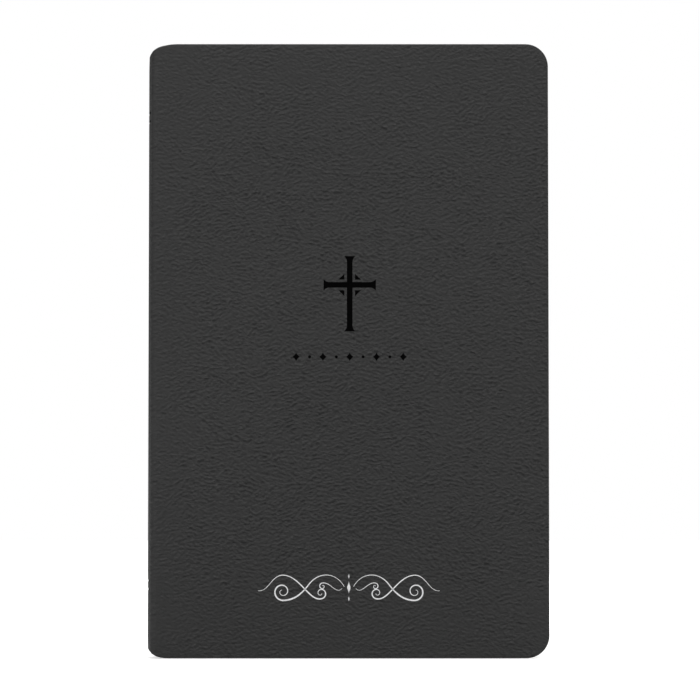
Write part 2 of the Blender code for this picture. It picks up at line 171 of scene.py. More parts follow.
class Shader:
    """A material whose nodes are added and joined with short calls."""

    def __init__(self, name):
        self.material = bpy.data.materials.new(name)
        self.material.use_nodes = True
        self.tree = self.material.node_tree
        self.surface = self.tree.nodes["Principled BSDF"]

    def put(self, socket, value):
        if isinstance(value, bpy.types.NodeSocket):
            self.tree.links.new(value, socket)
        else:
            socket.default_value = value

    def node(self, kind, inputs=None, **settings):
        node = self.tree.nodes.new("ShaderNode" + kind)
        for key, value in settings.items():
            setattr(node, key, value)
        for key, value in (inputs or {}).items():
            self.put(node.inputs[key], value)
        return node

    def math(self, operation, a, b=0.0):
        node = self.node("Math", operation=operation)
        self.put(node.inputs[0], a)
        self.put(node.inputs[1], b)
        return node.outputs[0]

    def vector_math(self, operation, a, b):
        node = self.node("VectorMath", operation=operation)
        self.put(node.inputs[0], a)
        self.put(node.inputs[1], b)
        return node.outputs[0]

    def scaled(self, vector, scale):
        return self.vector_math("MULTIPLY", vector, scale)

    def joined(self, x, y, z=0.0):
        return self.node("CombineXYZ", {"X": x, "Y": y, "Z": z}).outputs[0]

    def place(self):
        """Where the point is in the closed book, which stays with the piece when it bends."""
        return self.node("Attribute", attribute_name="place").outputs["Vector"]

    def own_place(self):
        return self.node("TexCoord").outputs["Object"]

    def split(self, vector):
        return self.node("SeparateXYZ", {"Vector": vector}).outputs

    def noise(self, vector, detail=2.0, roughness=0.5):
        inputs = {"Vector": vector, "Scale": 1.0, "Detail": detail, "Roughness": roughness}
        return self.node("TexNoise", inputs).outputs["Fac"]

    def ripples(self, across, up, pitch, waves, orientation, anisotropy):
        """Irregular ripples of one pitch, in patches as wide as the given number of waves.

        orientation is the angle at which the waves run, and pi / 2 makes their crests level.
        """
        inputs = {
            "Vector": self.joined(across, up),
            "Scale": 1 / (pitch * waves),
            "Frequency": waves,
            "Anisotropy": anisotropy,
            4: orientation,  # two sockets have this name, and the first is the 2D one
        }
        return self.node("TexGabor", inputs).outputs["Value"]

    def between(self, value, low, high):
        """1 where the value lies between low and high, and 0 elsewhere."""
        above = self.math("GREATER_THAN", value, low)
        return self.math("MULTIPLY", above, self.math("LESS_THAN", value, high))

    def remap(self, value, low, high, to_low=0.0, to_high=1.0, smooth=False):
        inputs = {"Value": value, "From Min": low, "From Max": high, "To Min": to_low, "To Max": to_high}
        kind = "SMOOTHSTEP" if smooth else "LINEAR"
        return self.node("MapRange", inputs, interpolation_type=kind).outputs["Result"]

    def mix(self, share, a, b):
        node = self.node("Mix", data_type="RGBA")
        self.put(node.inputs["Factor"], share)
        for socket, value in ((node.inputs[6], a), (node.inputs[7], b)):
            self.put(socket, (*value, 1.0) if isinstance(value, tuple) else value)
        return node.outputs[2]

    def bump(self, height, distance, normal=None):
        inputs = {"Height": height, "Distance": distance, "Strength": 1.0}
        if normal is not None:
            inputs["Normal"] = normal
        return self.node("Bump", inputs).outputs["Normal"]

    def finish(self, **inputs):
        for key, value in inputs.items():
            socket = self.surface.inputs[key.replace("_", " ")]
            self.put(socket, (*value, 1.0) if isinstance(value, tuple) else value)
        return self.material


def leather_material():
    """Charcoal imitation leather: short ripples and creases, calmer near the book's ends and spine. Its
    colour has painted shade in the troughs of the grain and a painted highlight on its crests.
    """
    s = Shader("charcoal_leather_look")
    place = s.place()
    x, y, z = s.split(place)
    drift = s.remap(s.noise(s.scaled(place, (60, 60, 60)), detail=1), 0, 1, -CREASE_DRIFT, CREASE_DRIFT)
    bent = s.vector_math("ADD", place, s.joined(0.0, 0.0, drift))

    patch = s.remap(s.noise(s.scaled(place, (80, 80, 110)), detail=2), 0.34, 0.6, 0.65, 1.0, smooth=True)
    calm = s.remap(x, SPINE_X, SPINE_X + CALM_SPINE, 0.6, 1.0, smooth=True)
    calm = s.math("MULTIPLY", calm, s.remap(z, 0, CALM_END, 0.65, 1.0, smooth=True))
    calm = s.math("MULTIPLY", calm, s.remap(z, HEAD_Z - CALM_END, HEAD_Z, 1.0, 0.6, smooth=True))

    round_book = s.math("ADD", x, y)
    level = math.pi / 2
    turned = s.noise(s.scaled(place, (70, 70, 70)), detail=1)
    lean = s.remap(turned, 0.3, 0.7, level - RIPPLE_LEAN, level + RIPPLE_LEAN)
    ripple = s.math("SUBTRACT", s.ripples(round_book, z, RIPPLE_PITCH, 1.1, lean, 0.58), 0.5)
    wrinkle = s.math("SUBTRACT", s.noise(s.scaled(bent, (620, 620, 1000)), detail=0), 0.5)
    fine = s.math("SUBTRACT", s.noise(s.scaled(bent, (1200, 1200, 2000)), detail=0), 0.5)
    height = s.math("ADD", s.math("MULTIPLY", ripple, 2.2), s.math("MULTIPLY", wrinkle, 1.0))
    height = s.math("ADD", height, s.math("MULTIPLY", fine, 0.9))
    height = s.math("MULTIPLY", height, s.math("MULTIPLY", patch, calm))
    pores = s.noise(s.scaled(place, (4200, 4200, 4200)), detail=1)
    normal = s.bump(height, GRAIN_DEPTH)
    normal = s.bump(pores, PORE_DEPTH, normal=normal)

    broad = s.noise(s.scaled(place, (16, 16, 16)), detail=2)
    # Painted shade and highlight: the colour is darker where the grain is low and lighter where it is high,
    # and the broad noise adds random tone.
    shade = s.math("ADD", s.remap(height, -0.7, 0.6, 0.0, 1.0), s.remap(broad, 0.3, 0.7, -0.05, 0.05))
    base = s.mix(s.remap(shade, 0.0, 1.0), (0.0160, 0.0160, 0.0162), (0.0356, 0.0356, 0.0353))
    rough = s.remap(height, -0.9, 0.7, 0.66, 0.56)
    return s.finish(
        Base_Color=base, Roughness=rough, Specular_IOR_Level=0.3, Normal=normal, Metallic=0.0
    )


def mark_material():
    """The pressed marks: black, slightly crushed leather."""
    s = Shader("pressed_black")
    place = s.own_place()
    crushed = s.noise(s.scaled(place, (900, 900, 1500)), detail=2)
    base = s.mix(crushed, (0.0006, 0.0006, 0.0006), (0.0018, 0.0018, 0.0018))
    normal = s.bump(crushed, 0.01 * MM)
    rough = s.remap(crushed, 0, 1, 0.75, 0.9)
    return s.finish(Base_Color=base, Roughness=rough, Specular_IOR_Level=0.02, Normal=normal)


def foil_material():
    """Silver foil stamped into the grain, with tiny breaks."""
    s = Shader("silver_foil_look")
    place = s.own_place()
    grain = s.noise(s.scaled(place, (400, 400, 1200)), detail=2)
    specks = s.remap(s.noise(s.scaled(place, (2600, 2600, 2600)), detail=2), 0.3, 0.36)
    base = s.mix(specks, (0.36, 0.36, 0.36), (0.93, 0.93, 0.94))
    normal = s.bump(grain, 0.02 * MM)
    rough = s.remap(grain, 0.2, 0.8, 0.34, 0.5)
    return s.finish(Base_Color=base, Metallic=0.35, Roughness=rough, Normal=normal)


def endpaper_material():
    """Heavy dark endpaper with visible fibres."""
    s = Shader("endpaper_look")
    place = s.place()
    fibre = s.noise(s.scaled(place, (900, 900, 350)), detail=4, roughness=0.7)
    cloud = s.noise(s.scaled(place, (60, 60, 60)), detail=3)
    base = s.mix(s.remap(fibre, 0.25, 0.75), (0.028, 0.028, 0.030), (0.062, 0.061, 0.062))
    base = s.mix(s.remap(cloud, 0.3, 0.7, 0.0, 0.18), base, (0.075, 0.074, 0.074))
    normal = s.bump(fibre, 0.03 * MM)
    return s.finish(Base_Color=base, Roughness=0.82, Specular_IOR_Level=0.25, Normal=normal)


def page_edge_material():
    """Cut edges of many thin pages: fine lines along the block, uneven in tone."""
    s = Shader("page_edges")
    place = s.place()
    lines = s.noise(s.scaled(place, (18, 9000, 18)), detail=3, roughness=0.7)
    bands = s.noise(s.scaled(place, (12, 1700, 12)), detail=2)
    cloud = s.noise(s.scaled(place, (25, 60, 25)), detail=2)
    tone = s.math("ADD", s.math("MULTIPLY", lines, 0.6), s.math("MULTIPLY", bands, 0.4))
    base = s.mix(s.remap(tone, 0.3, 0.7), (0.58, 0.53, 0.44), (0.93, 0.89, 0.80))
    base = s.mix(s.remap(cloud, 0.4, 0.75, 0.0, 0.25), base, (0.76, 0.70, 0.59))
    normal = s.bump(lines, 0.05 * MM)
    return s.finish(Base_Color=base, Roughness=0.85, Specular_IOR_Level=0.2, Normal=normal)


def page_face_material(printed):
    """Thin cream paper. A printed page shows two columns of broken grey lines, with no letters."""
    s = Shader("printed_page" if printed else "plain_page")
    place = s.place()
    fibre = s.noise(s.scaled(place, (700, 700, 700)), detail=4, roughness=0.65)
    cloud = s.noise(s.scaled(place, (40, 40, 40)), detail=2)
    base = s.mix(s.remap(fibre, 0.3, 0.7), (0.88, 0.85, 0.77), (0.94, 0.915, 0.85))
    base = s.mix(s.remap(cloud, 0.3, 0.7, 0.0, 0.2), base, (0.86, 0.81, 0.71))
    if printed:
        x, _, z = s.split(place)
        row = s.math("FLOOR", s.math("DIVIDE", z, LINE_PITCH))
        up_line = s.math("SUBTRACT", s.math("DIVIDE", z, LINE_PITCH), row)
        inked = s.between(up_line, 0.22, 0.66)
        word_place = s.joined(s.math("MULTIPLY", x, 230.0), s.math("MULTIPLY", row, 7.31))
        words = s.math("GREATER_THAN", s.noise(word_place, detail=1), 0.40)
        stroke_place = s.joined(s.math("MULTIPLY", x, 1700.0), s.math("MULTIPLY", row, 3.7))
        strokes = s.remap(s.noise(stroke_place, detail=2), 0.38, 0.62, 0.35, 1.0)
        off = s.math("ABSOLUTE", s.math("SUBTRACT", x, TEXT_MIDDLE_X))
        column = s.between(off, TEXT_GUTTER / 2, TEXT_WIDTH / 2)
        body = s.between(z, PAGE_TAIL_Z + TAIL_MARGIN, PAGE_HEAD_Z - HEAD_MARGIN)
        ink = s.math("MULTIPLY", s.math("MULTIPLY", inked, words), s.math("MULTIPLY", column, body))
        ink = s.math("MULTIPLY", ink, strokes)
        rule = s.math("LESS_THAN", off, COLUMN_RULE / 2)
        ink = s.math("MAXIMUM", ink, s.math("MULTIPLY", s.math("MULTIPLY", rule, body), 0.55))
        base = s.mix(s.math("MULTIPLY", ink, 0.72), base, (0.10, 0.095, 0.09))
    normal = s.bump(s.math("ADD", fibre, s.math("MULTIPLY", cloud, 3.0)), 0.03 * MM)
    return s.finish(Base_Color=base, Roughness=0.8, Specular_IOR_Level=0.25, Normal=normal)


def thread_material(name, dark, light, pitch, along="Y", roughness=0.6):
    """A close weave or winding, with the threads running across the given direction. Its colour has painted
    shade in the grooves between the threads and a painted highlight on their crests.
    """
    s = Shader(name)
    place = s.own_place()
    axis = {"X": 0, "Y": 1, "Z": 2}[along]
    run = s.math("MULTIPLY", s.split(place)[axis], 2 * math.pi / pitch)
    wave = s.remap(s.math("SINE", run), -1, 1)
    fuzz = s.noise(s.scaled(place, (4000, 4000, 4000)), detail=2)
    # Painted shade and highlight: the colour follows the wave of the relief, darker in the grooves and
    # lighter on the crests, with random fuzz in tone.
    base = s.mix(s.math("MULTIPLY", s.math("ADD", wave, fuzz), 0.5), dark, light)
    normal = s.bump(s.math("ADD", wave, s.math("MULTIPLY", fuzz, 0.5)), 0.04 * MM)
    return s.finish(Base_Color=base, Roughness=roughness, Normal=normal)


def fibre_material(name, dark, light, stretch, roughness=0.9):
    """Board, lining paper or glue inside the binding."""
    s = Shader(name)
    place = s.own_place()
    fibre = s.noise(s.scaled(place, stretch), detail=4, roughness=0.7)
    base = s.mix(s.remap(fibre, 0.25, 0.75), dark, light)
    return s.finish(Base_Color=base, Roughness=roughness, Normal=s.bump(fibre, 0.04 * MM))


def gauze_material():
    """Open weave of the mull."""
    s = Shader("mull_look")
    place = s.own_place()
    _, y, z = s.split(place)
    warp = s.math("ABSOLUTE", s.math("SINE", s.math("MULTIPLY", y, math.pi / (0.8 * MM))))
    weft = s.math("ABSOLUTE", s.math("SINE", s.math("MULTIPLY", z, math.pi / (0.8 * MM))))
    weave = s.math("MAXIMUM", warp, weft)
    base = s.mix(s.remap(weave, 0.6, 1.0), (0.35, 0.33, 0.29), (0.80, 0.78, 0.72))
    return s.finish(Base_Color=base, Roughness=0.95, Normal=s.bump(weave, 0.08 * MM))


LEATHER = leather_material()
MARK = mark_material()
FOIL = foil_material()
ENDPAPER = endpaper_material()
PAGE_EDGES = page_edge_material()
PRINTED_PAGE = page_face_material(printed=True)
PLAIN_PAGE = page_face_material(printed=False)
BAND = thread_material("band_look", (0.012, 0.012, 0.013), (0.07, 0.07, 0.072), 0.3 * MM, "X", 0.45)
BAND_LIGHT = thread_material("band_light_thread", (0.32, 0.31, 0.29), (0.66, 0.64, 0.60), 0.3 * MM, "X", 0.45)
RIBBON = thread_material("ribbon_look", (0.010, 0.010, 0.011), (0.045, 0.045, 0.048), 0.22 * MM, "Z", 0.32)
THREAD = thread_material("thread_look", (0.55, 0.53, 0.48), (0.88, 0.87, 0.82), 0.5 * MM, "Y", 0.8)


# ---------------------------------------------------------------- mesh helpers


def loft(name, rings, materials, rim=0, caps=(0, 0), smooth_angle=35):
    """A closed body from rings of equal length, each joined to the next, with flat caps on the ends.

    rim is the material index of the quads, and caps the indices of the first and last cap.
    """
    work = bmesh.new()
    rows = [[work.verts.new(point) for point in ring] for ring in rings]
    count = len(rings[0])
    for row, following in zip(rows, rows[1:]):
        for i in range(count):
            j = (i + 1) % count
            face = work.faces.new((row[i], row[j], following[j], following[i]))
            face.material_index = rim
    first = work.faces.new(list(reversed(rows[0])))
    last = work.faces.new(rows[-1])
    first.material_index, last.material_index = caps
    return finish_mesh(name, work, materials, smooth_angle)


def finish_mesh(name, work, materials, smooth_angle=35):
    """Turns a bmesh into a smooth-shaded piece with outward faces, and notes each point's place."""
    bmesh.ops.recalc_face_normals(work, faces=work.faces)
    mesh = bpy.data.meshes.new(name)
    work.to_mesh(mesh)
    work.free()
    for material in materials:
        mesh.materials.append(material)
    obj = bpy.data.objects.new(name, mesh)
    bpy.context.scene.collection.objects.link(obj)
    smooth(obj, smooth_angle)
    note_place(obj)
    return obj


def smooth(obj, angle=35):
    obj.data.shade_smooth()
    obj.data.set_sharp_from_angle(angle=math.radians(angle))


def note_place(obj):
    """Stores where each point is in the closed book, for textures that must not slide."""
    mesh = obj.data
    attribute = mesh.attributes.get("place") or mesh.attributes.new("place", "FLOAT_VECTOR", "POINT")
    for vertex, item in zip(mesh.vertices, attribute.data):
        item.vector = vertex.co


def arc(centre_u, centre_v, radius, start_deg, end_deg, steps):
    points = []
    for i in range(steps + 1):
        angle = math.radians(start_deg + (end_deg - start_deg) * i / steps)
        points.append((centre_u + radius * math.cos(angle), centre_v + radius * math.sin(angle)))
    return points


def spread(low, high, steps):
    return [low + (high - low) * i / steps for i in range(steps + 1)]


# ---------------------------------------------------------------- cover outline


def ellipse_drop(distance, half_x, half_z):
    share = min(max(distance, 0) / half_x, 1)
    return half_z * (1 - math.sqrt(1 - share * share))


def head_z(x):
    return HEAD_Z - ellipse_drop(SPINE_X + HEAD_DIP_WIDTH - x, HEAD_ELLIPSE_X, HEAD_ELLIPSE_Z)


def tail_z(x):
    return ellipse_drop(SPINE_X + TAIL_DIP_WIDTH - x, TAIL_ELLIPSE_X, TAIL_ELLIPSE_Z)


def slope_stretch(height, x):
    """How much further an inset reaches straight down than across the edge, where the edge slopes."""
    step = 0.05 * MM
    slope = (height(x + step) - height(x - step)) / (2 * step)
    return math.sqrt(1 + slope * slope)


def panel_path(start):
    """Outline of a cover from its tail at start round to its head at start.

    Each point is (x, z, outward x, outward z).
    """
    path = []
    radius = FORE_CORNER_RADIUS
    for x in spread(start, SPINE_X + TAIL_DIP_WIDTH, 8):
        path.append((x, tail_z(x)))
    path.append((0.0, 0.0))
    path += arc(FORE_X - radius, radius, radius, -90, 0, 20)
    path.append((FORE_X, HEAD_Z / 2))
    path += arc(FORE_X - radius, HEAD_Z - radius, radius, 0, 90, 20)
    path.append((0.0, HEAD_Z))
    for x in spread(SPINE_X + HEAD_DIP_WIDTH, start, 12):
        path.append((x, head_z(x)))
    result = []
    for i, (x, z) in enumerate(path):
        before, after = path[max(i - 1, 0)], path[min(i + 1, len(path) - 1)]
        direction = Vector((after[0] - before[0], after[1] - before[1])).normalized()
        result.append((x, z, direction.y, -direction.x))
    return result


def edge_profile(thickness):
    """(inset from the edge, depth below the face) from the face round the edge to the inside."""
    profile = [(FACE_FALL_WIDTH * 1.01, 0.0)]
    for inset in (6.0, 5.0, 4.0, 3.0, 2.2, 1.5):
        share = 1 - (inset * MM - FACE_EDGE_RADIUS) / (FACE_FALL_WIDTH - FACE_EDGE_RADIUS)
        profile.append((inset * MM, FACE_FALL * share * share))
    radius = min(FACE_EDGE_RADIUS, thickness * 0.55)
    steps = 7
    for i in range(steps + 1):
        turn = math.pi / 2 * i / steps
        depth = radius * (1 - math.cos(turn)) + FACE_FALL * (1 - i / steps)
        profile.append((radius * (1 - math.sin(turn)), depth))
    inner = min(INSIDE_EDGE_RADIUS, thickness - radius - 0.02 * MM)
    steps = 4
    for i in range(steps + 1):
        turn = math.pi / 2 * i / steps
        profile.append((inner * (1 - math.cos(turn)), thickness - inner * (1 - math.sin(turn))))
    profile.append((inner + 0.1 * MM, thickness))
    return profile


# ---------------------------------------------------------------- cover


def build_panel(name, side):
    """A stiff cover panel with rounded, turned-in edges. side is -1 for the front and 1 for the back."""
    start = JOINT_X + PANEL_START
    path = panel_path(start)
    tail_stretch, head_stretch = slope_stretch(tail_z, start), slope_stretch(head_z, start)
    rings = []
    for inset, depth in edge_profile(PANEL_THICKNESS):
        y = side * (HALF_DEPTH - depth)
        ring = []
        for i, (x, z, out_x, out_z) in enumerate(path):
            if i == 0:
                ring.append((x, y, z + inset * tail_stretch))
            elif i == len(path) - 1:
                ring.append((x, y, z - inset * head_stretch))
            else:
                ring.append((max(x - inset * out_x, start), y, z - inset * out_z))
        rings.append(ring)
    return loft(name, rings, [LEATHER, MARK])


def spine_section(side):
    """Stations from the middle of the spine to the panel: (x, y, outward x, outward y, zone).

    The spine is bowed, and a soft corner joins it to the cover. zone counts 0 to 1 along the spine, 1 to 2
    round the corner and 2 to 3 along the cover.
    """
    centre_x = SPINE_X + SPINE_RADIUS
    corner = SPINE_CORNER_RADIUS
    corner_y = HALF_DEPTH - corner
    corner_x = centre_x - math.sqrt((SPINE_RADIUS - corner) ** 2 - corner_y**2)
    spine_turn = math.asin(corner_y / (SPINE_RADIUS - corner))
    stations = []
    for i in range(10):
        turn = spine_turn * i / 10
        out = (-math.cos(turn), math.sin(turn))
        stations.append((centre_x + SPINE_RADIUS * out[0], SPINE_RADIUS * out[1], *out, i / 10))
    steps = 28
    for i in range(steps + 1):
        turn = spine_turn + (math.pi / 2 - spine_turn) * i / steps
        out = (-math.cos(turn), math.sin(turn))
        stations.append((corner_x + corner * out[0], corner_y + corner * out[1], *out, 1 + i / steps))
    steps = 14
    for i in range(1, steps + 1):
        x = corner_x + (JOINT_X + PANEL_START - corner_x) * i / steps
        stations.append((x, HALF_DEPTH, 0.0, 1.0, 2 + i / steps))
    return [(x, side * y, out_x, side * out_y, zone) for x, y, out_x, out_y, zone in stations]


def edge_heights(x, zone):
    """Tail and head heights of the cover at a station. The head dips towards the middle of the spine."""
    tail, head = tail_z(x), head_z(x)
    if zone < 1:
        corner_x = next(s for s in spine_section(1) if s[4] >= 1)[0]
        middle = HEAD_Z - SPINE_HEAD_DROP
        head = middle + (head_z(corner_x) - middle) * zone * zone
    return tail, head


def station_thickness(zone):
    """The cover is thick over the spine's stiffener and over the boards, and thin where it folds."""
    if zone <= 1:
        return SPINE_THICKNESS
    if zone <= THIN_ZONE:
        return SPINE_THICKNESS + (HINGE_THICKNESS - SPINE_THICKNESS) * (zone - 1) / (THIN_ZONE - 1)
    thick_start, thick_end = THICKENING_ZONES
    share = min(max((zone - thick_start) / (thick_end - thick_start), 0), 1)
    return HINGE_THICKNESS + (PANEL_THICKNESS - HINGE_THICKNESS) * share * share * (3 - 2 * share)


def rule_steps(zone):
    """(height, depth) of each step of the rules pressed across the spine, which fade out at its sides."""
    depth = RULE_DEPTH * min(max((0.97 - zone) / 0.12, 0), 1)
    half = RULE_WIDTH / 2
    steps = []
    for z in RULE_HEIGHTS:
        steps += [(z - half, 0.0), (z - half * 0.6, depth), (z + half * 0.6, depth), (z + half, 0.0)]
    return steps


def build_wrap(name, stations):
    """A curved length of cover: one closed ring of edge profile at each station."""
    rings = []
    for x, y, out_x, out_y, zone in stations:
        tail, head = edge_heights(x, zone)
        thickness = station_thickness(zone)
        tail_stretch = slope_stretch(tail_z, x) if zone > 2 else 1.0
        head_stretch = slope_stretch(head_z, x) if zone > 2 else 1.0
        profile = edge_profile(thickness)
        ring = []
        for inset, depth in reversed(profile):
            ring.append((x - out_x * depth, y - out_y * depth, tail + inset * tail_stretch))
        for z, depth in rule_steps(zone):
            ring.append((x - out_x * depth, y - out_y * depth, z))
        for inset, depth in profile:
            ring.append((x - out_x * depth, y - out_y * depth, head - inset * head_stretch))
        rings.append(ring)
    piece = loft(name, rings, [LEATHER, MARK], smooth_angle=30)
    for polygon in piece.data.polygons:
        sunk = abs(polygon.center.y) < RULE_REACH and any(
            abs(polygon.center.z - z) < RULE_WIDTH * 0.4 for z in RULE_HEIGHTS
        )
        if sunk and polygon.normal.x < -0.5:
            polygon.material_index = 1
    return piece


def build_cover():
    """The leather round the whole book, in lengths that meet end to end; the two panels ride on the covers'
    bodies and the other lengths stay fixed.
    """
    front = spine_section(-1)
    back = spine_section(1)
    spine_half = [s for s in front if s[4] <= SPLIT_ZONE]
    hinge = [s for s in front if s[4] >= SPLIT_ZONE]

    front_panel = build_panel("front_cover_leather_look", -1)
    press_marks(front_panel)
    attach(front_panel, "front_cover")
    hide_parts("front_cover_leather", "front_cover_board")

    back_panel = build_panel("back_cover_leather_look", 1)
    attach(back_panel, "back_cover")
    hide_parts("back_cover_leather", "back_cover_board")

    piece = build_wrap("front_hinge_leather", hinge)
    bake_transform(piece)
    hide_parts("front_joint_leather")

    piece = build_wrap("spine_leather_front_half", spine_half)
    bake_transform(piece)
    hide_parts("spine_leather", "spine_inlay")

    piece = build_wrap("spine_leather_back_half", back)
    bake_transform(piece)
    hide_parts("back_joint_leather")


# ---------------------------------------------------------------- marks


def flared_cross():
    """Half-width outline of the cross, mirrored to a closed loop in (x, z) about its crossing."""
    bar, flare, neck = CROSS_BAR / 2, CROSS_FLARE / 2, CROSS_FLARE_LENGTH
    curve = [(i / 6, (i / 6) ** 2.0) for i in range(7)]
    right = []
    for share, lift in curve[::-1]:
        right.append((bar + (flare - bar) * lift, -CROSS_BELOW + neck * (1 - share)))
    right.append((bar, -bar))
    for share, lift in curve:
        right.append((CROSS_ARM - neck * (1 - share), -bar - (flare - bar) * lift))
    for share, lift in curve[::-1]:
        right.append((CROSS_ARM - neck * (1 - share), bar + (flare - bar) * lift))
    right.append((bar, bar))
    for share, lift in curve:
        right.append((bar + (flare - bar) * lift, CROSS_ABOVE - neck * (1 - share)))
    left = [(-x, z) for x, z in reversed(right)]
    return right + left


def corner_accent(sign_x, sign_z):
    """A small right triangle in a corner of the crossing, its long side slightly hollow."""
    near, leg = CROSS_BAR / 2 + 0.95 * MM, 2.05 * MM
    points = [(near, near), (near + leg, near)]
    for share in (0.25, 0.5, 0.75):
        hollow = 0.06 * MM * math.sin(math.pi * share)
        points.append((near + leg * (1 - share) - hollow, near + leg * share - hollow))
    points.append((near, near + leg))
    return [(sign_x * x, sign_z * z) for x, z in points]


def lozenge(centre_x, half_width, half_height):
    """A four-pointed mark with hollow sides."""
    points = []
    for i in range(16):
        turn = 2 * math.pi * i / 16
        reach = (abs(math.cos(turn)) ** 0.8 + abs(math.sin(turn)) ** 0.8) ** (-1 / 0.8)
        points.append((centre_x + half_width * reach * math.cos(turn), half_height * reach * math.sin(turn)))
    return points


def disc(centre_x, radius):
    return [(centre_x + radius * math.cos(t), radius * math.sin(t)) for t in spread(0, 2 * math.pi, 12)[:-1]]


def add_die(work, outline, centre):
    """A prism with sloping sides that presses one mark into the face."""
    shift_x, shift_z = centre
    middle_x = sum(x for x, _ in outline) / len(outline)
    middle_z = sum(z for _, z in outline) / len(outline)
    rows = []
    for y, grow in ((FRONT_Y - 0.4 * MM, 0.10 * MM), (FRONT_Y + MARK_DEPTH, 0.0)):
        row = []
        for x, z in outline:
            away = Vector((x - middle_x, z - middle_z))
            away = away.normalized() * grow if away.length > 0 else away
            row.append(work.verts.new((x + away.x + shift_x, y, z + away.y + shift_z)))
        rows.append(row)
    count = len(outline)
    faces = [work.faces.new(rows[0]), work.faces.new(list(reversed(rows[1])))]
    for i in range(count):
        j = (i + 1) % count
        faces.append(work.faces.new((rows[0][j], rows[0][i], rows[1][i], rows[1][j])))
    return faces


def press_marks(panel):
    """Presses the cross and the row of ornaments below it into the front cover."""
    work = bmesh.new()
    add_die(work, flared_cross(), CROSS_CENTRE)
    for sign_x in (-1, 1):
        for sign_z in (-1, 1):
            add_die(work, corner_accent(sign_x, sign_z), CROSS_CENTRE)
    row = (CROSS_CENTRE[0], ORNAMENT_Z)
    last = ORNAMENT_COUNT - 1
    for i in range(ORNAMENT_COUNT):
        x = ORNAMENT_WIDTH * (i / last - 0.5)
        if i % 2:
            add_die(work, disc(x, 0.5 * MM), row)
        else:
            add_die(work, lozenge(x, 1.25 * MM, 1.45 * MM), row)
    bmesh.ops.recalc_face_normals(work, faces=work.faces)
    mesh = bpy.data.meshes.new("dies")
    work.to_mesh(mesh)
    work.free()
    mesh.materials.append(MARK)
    dies = bpy.data.objects.new("dies", mesh)
    bpy.context.scene.collection.objects.link(dies)
    press = panel.modifiers.new("marks", "BOOLEAN")
    press.operation = "DIFFERENCE"
    press.solver = "EXACT"
    press.material_mode = "TRANSFER"
    press.object = dies
    apply_modifiers(panel)
    bpy.data.objects.remove(dies)
    smooth(panel, 30)
    note_place(panel)


def apply_modifiers(obj):
    graph = bpy.context.evaluated_depsgraph_get()
    mesh = bpy.data.meshes.new_from_object(obj.evaluated_get(graph))
    obj.modifiers.clear()
    obj.data = mesh


# ---------------------------------------------------------------- silver foil


def pen_stroke(work, points, thin, thick):
    """A flat stroke of foil through points in (x, z), widest in the middle and just proud of the leather."""
    low, high = FRONT_Y + FOIL_RELIEF, FRONT_Y - FOIL_RELIEF
    rows = []
    last = len(points) - 1
    for i, (x, z) in enumerate(points):
        before, after = points[max(i - 1, 0)], points[min(i + 1, last)]
        along = Vector((after[0] - before[0], after[1] - before[1])).normalized()
        width = thin + (thick - thin) * math.sin(math.pi * i / last) ** 2
        side = Vector((-along.y, along.x)) * width / 2
        row = []
        for sign, y in ((1, low), (0.85, high), (-0.85, high), (-1, low)):
            row.append(work.verts.new((x + side.x * sign, y, z + side.y * sign)))
        rows.append(row)
    for row, following in zip(rows, rows[1:]):
        for i in range(4):
            j = (i + 1) % 4
            work.faces.new((row[i], row[j], following[j], following[i]))
    work.faces.new(list(reversed(rows[0])))
    work.faces.new(rows[-1])


def bezier(p0, p1, p2, p3, steps=24):
    """Points along a cubic curve, without its last point."""
    points = []
    for i in range(steps):
        t = i / steps
        a, b, c, d = (1 - t) ** 3, 3 * t * (1 - t) ** 2, 3 * t * t * (1 - t), t**3
        points.append(tuple(a * p0[k] + b * p1[k] + c * p2[k] + d * p3[k] for k in (0, 1)))
    return points


def curl(start, heading_deg, radius, turns, tightening=0.82, steps=40):
    """A spiral that leaves start along a heading and winds inwards. Positive turns wind to the left."""
    spin = 1 if turns > 0 else -1
    heading = math.radians(heading_deg)
    centre = (start[0] - spin * radius * math.sin(heading), start[1] + spin * radius * math.cos(heading))
    angle = heading - spin * math.pi / 2
    points = []
    for i in range(steps + 1):
        share = i / steps
        reach = radius * (1 - tightening * share)
        turn = angle + turns * 2 * math.pi * share
        points.append((centre[0] + reach * math.cos(turn), centre[1] + reach * math.sin(turn)))
    return points


def flourish_strokes():
    """Right half of the flourish in millimetres from its middle: (points, thinnest, thickest)."""
    main = bezier((1.6, 0.4), (4.5, 5.6), (10.5, 5.8), (14.0, 1.2))
    main += bezier((14.0, 1.2), (16.4, -2.0), (19.0, -4.4), (23.2, -4.4))
    main += curl((23.2, -4.4), 0, 3.1, 1.45)
    tail = bezier((9.0, -3.6), (13.5, -5.6), (16.5, 3.6), (22.5, 4.4))
    tail += bezier((22.5, 4.4), (27.0, 5.0), (28.0, -1.6), (31.8, -1.0)) + [(31.8, -1.0)]
    root = list(reversed(curl((9.0, -3.6), 155, 1.9, -1.15)))
    inner = bezier((2.4, -0.2), (4.6, -2.6), (6.6, 2.6), (9.6, 1.6)) + curl((9.6, 1.6), -20, 1.15, -1.1)
    return [(main, 0.2, 0.62), (root + tail, 0.17, 0.5), (inner, 0.16, 0.36)]


